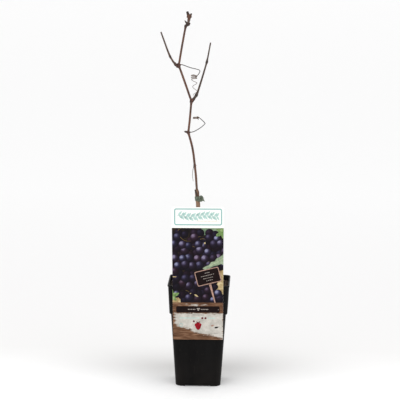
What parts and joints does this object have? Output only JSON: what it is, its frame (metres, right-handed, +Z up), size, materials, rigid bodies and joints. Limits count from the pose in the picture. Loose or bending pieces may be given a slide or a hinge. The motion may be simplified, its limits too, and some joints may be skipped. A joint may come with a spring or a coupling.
{
  "type": "potted grapevine",
  "caption": "Young dormant grapevine in a tall square nursery pot, a zigzag leafless cane with side shoots, with a picture label hooked on the rim.",
  "frame": {"origin": "middle of the pot's flat underside, on the surface it stands on", "axes": "+Z up along the vine, -Y towards the side with the label, +X to the right when the label is looked at"},
  "size_m": [0.1234, 0.1156, 0.6469],
  "materials": {
    "pot_plastic": "satin",
    "potting_soil": "matte",
    "label_card": "satin",
    "old_bark": "matte",
    "cane_bark": "matte",
    "shoot_bark": "matte",
    "dead_wood": "matte",
    "tie_plastic": "satin"
  },
  "bodies": {
    "root": {"pot": "pot_plastic", "soil": "potting_soil", "label": "label_card", "trunk": "old_bark", "pruned_stub": "dead_wood", "tie": "tie_plastic", "cane_1": "cane_bark", "cane_2": "cane_bark", "cane_3": "cane_bark", "cane_4": "cane_bark", "cane_5": "cane_bark", "forked_tip": "cane_bark", "left_shoot": "shoot_bark", "right_shoot": "shoot_bark"}
  },
  "joints": []
}
